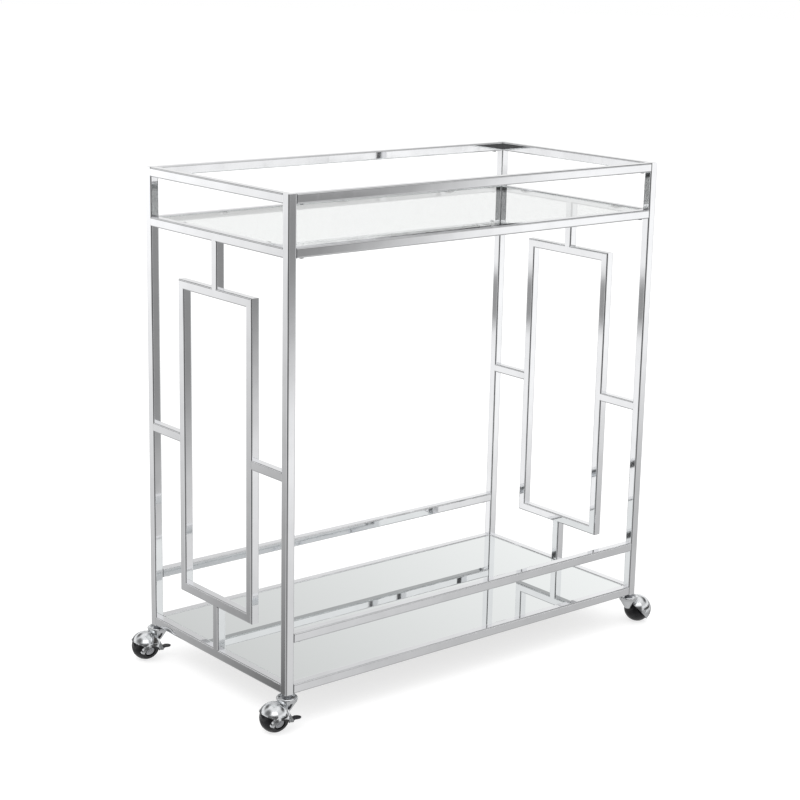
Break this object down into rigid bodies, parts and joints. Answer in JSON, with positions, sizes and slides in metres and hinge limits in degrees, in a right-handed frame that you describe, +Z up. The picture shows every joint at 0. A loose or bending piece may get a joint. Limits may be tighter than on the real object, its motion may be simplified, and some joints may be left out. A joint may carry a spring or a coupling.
{
  "type": "bar cart",
  "caption": "Polished square-tube bar cart: glass tray shelf over a mirror shelf, rectangle panels in both ends, low guard rails, on hooded ball casters with brakes at one end",
  "frame": {"origin": "on the floor, under the middle of the frame", "axes": "+X along the cart to the end without brakes, +Y to the back, +Z up"},
  "size_m": [0.884, 0.4367, 0.858],
  "materials": {
    "chrome_tube": "bright chrome plate over ground and polished square steel tube",
    "chrome_cast": "chrome plate over a die-cast hood, slightly softer than the tubes",
    "plain_steel": "bright zinc plated steel",
    "clear_glass": "clear float glass with polished edges, slightly green at the edge",
    "mirror": "silvered mirror glass",
    "board": "thin hardboard, painted dark",
    "clear_pad": "soft clear pad",
    "black_ball": "moulded black plastic, satin where it rolls",
    "black_lever": "moulded dark grey plastic"
  },
  "bodies": {
    "root": {"left_front_post": "chrome_tube", "left_back_post": "chrome_tube", "left_top_rail": "chrome_tube", "left_shelf_rail": "chrome_tube", "left_bottom_rail": "chrome_tube", "left_panel_front_bar": "chrome_tube", "left_panel_back_bar": "chrome_tube", "left_panel_top_bar": "chrome_tube", "left_panel_bottom_bar": "chrome_tube", "left_panel_front_stub": "chrome_tube", "left_panel_back_stub": "chrome_tube", "left_panel_top_stub": "chrome_tube", "left_panel_bottom_stub": "chrome_tube", "right_front_post": "chrome_tube", "right_back_post": "chrome_tube", "right_top_rail": "chrome_tube", "right_shelf_rail": "chrome_tube", "right_bottom_rail": "chrome_tube", "right_panel_front_bar": "chrome_tube", "right_panel_back_bar": "chrome_tube", "right_panel_top_bar": "chrome_tube", "right_panel_bottom_bar": "chrome_tube", "right_panel_front_stub": "chrome_tube", "right_panel_back_stub": "chrome_tube", "right_panel_top_stub": "chrome_tube", "right_panel_bottom_stub": "chrome_tube", "front_top_rail": "chrome_tube", "front_shelf_rail": "chrome_tube", "front_guard_rail": "chrome_tube", "front_bottom_rail": "chrome_tube", "back_top_rail": "chrome_tube", "back_shelf_rail": "chrome_tube", "back_guard_rail": "chrome_tube", "back_bottom_rail": "chrome_tube", "rail_tongues": "plain_steel", "rail_screws": "plain_steel", "shelf_tabs": "chrome_tube", "glass_pads": "clear_pad", "glass_shelf": "clear_glass", "mirror_shelf": "mirror", "mirror_board": "board", "stem_sockets": "plain_steel", "caster_stems": "plain_steel", "stem_nuts": "plain_steel", "grip_rings": "plain_steel"},
    "front_left_swivel": {"front_left_hood": "chrome_cast", "front_left_axle": "plain_steel"},
    "front_left_wheel_body": {"front_left_wheel": "black_ball"},
    "front_left_lever_body": {"front_left_lever": "black_lever"},
    "back_left_swivel": {"back_left_hood": "chrome_cast", "back_left_axle": "plain_steel"},
    "back_left_wheel_body": {"back_left_wheel": "black_ball"},
    "back_left_lever_body": {"back_left_lever": "black_lever"},
    "front_right_swivel": {"front_right_hood": "chrome_cast", "front_right_axle": "plain_steel"},
    "front_right_wheel_body": {"front_right_wheel": "black_ball"},
    "back_right_swivel": {"back_right_hood": "chrome_cast", "back_right_axle": "plain_steel"},
    "back_right_wheel_body": {"back_right_wheel": "black_ball"}
  },
  "joints": [
    {"name": "front_left_swivel_joint", "type": "hinge", "parent": "root", "child": "front_left_swivel", "pos_m": [-0.392, -0.192, 0.058], "axis": [0, 0, 1], "continuous": true},
    {"name": "front_left_wheel_spin", "type": "hinge", "parent": "front_left_swivel", "child": "front_left_wheel_body", "pos_m": [-0.417, -0.192, 0.024], "axis": [0, 0.9135, 0.4067], "continuous": true},
    {"name": "front_left_brake", "type": "hinge", "parent": "front_left_swivel", "child": "front_left_lever_body", "pos_m": [-0.39087, -0.20363, 0.0175], "axis": [0.4067, 0.9135, 0], "range_deg": [0, 30]},
    {"name": "back_left_swivel_joint", "type": "hinge", "parent": "root", "child": "back_left_swivel", "pos_m": [-0.392, 0.192, 0.058], "axis": [0, 0, 1], "continuous": true},
    {"name": "back_left_wheel_spin", "type": "hinge", "parent": "back_left_swivel", "child": "back_left_wheel_body", "pos_m": [-0.417, 0.192, 0.024], "axis": [0, 0.9135, 0.4067], "continuous": true},
    {"name": "back_left_brake", "type": "hinge", "parent": "back_left_swivel", "child": "back_left_lever_body", "pos_m": [-0.39087, 0.18037, 0.0175], "axis": [0.4067, 0.9135, 0], "range_deg": [0, 30]},
    {"name": "front_right_swivel_joint", "type": "hinge", "parent": "root", "child": "front_right_swivel", "pos_m": [0.392, -0.192, 0.058], "axis": [0, 0, 1], "continuous": true},
    {"name": "front_right_wheel_spin", "type": "hinge", "parent": "front_right_swivel", "child": "front_right_wheel_body", "pos_m": [0.417, -0.192, 0.024], "axis": [0, -0.9135, 0.4067], "continuous": true},
    {"name": "back_right_swivel_joint", "type": "hinge", "parent": "root", "child": "back_right_swivel", "pos_m": [0.392, 0.192, 0.058], "axis": [0, 0, 1], "continuous": true},
    {"name": "back_right_wheel_spin", "type": "hinge", "parent": "back_right_swivel", "child": "back_right_wheel_body", "pos_m": [0.417, 0.192, 0.024], "axis": [0, -0.9135, 0.4067], "continuous": true}
  ]
}
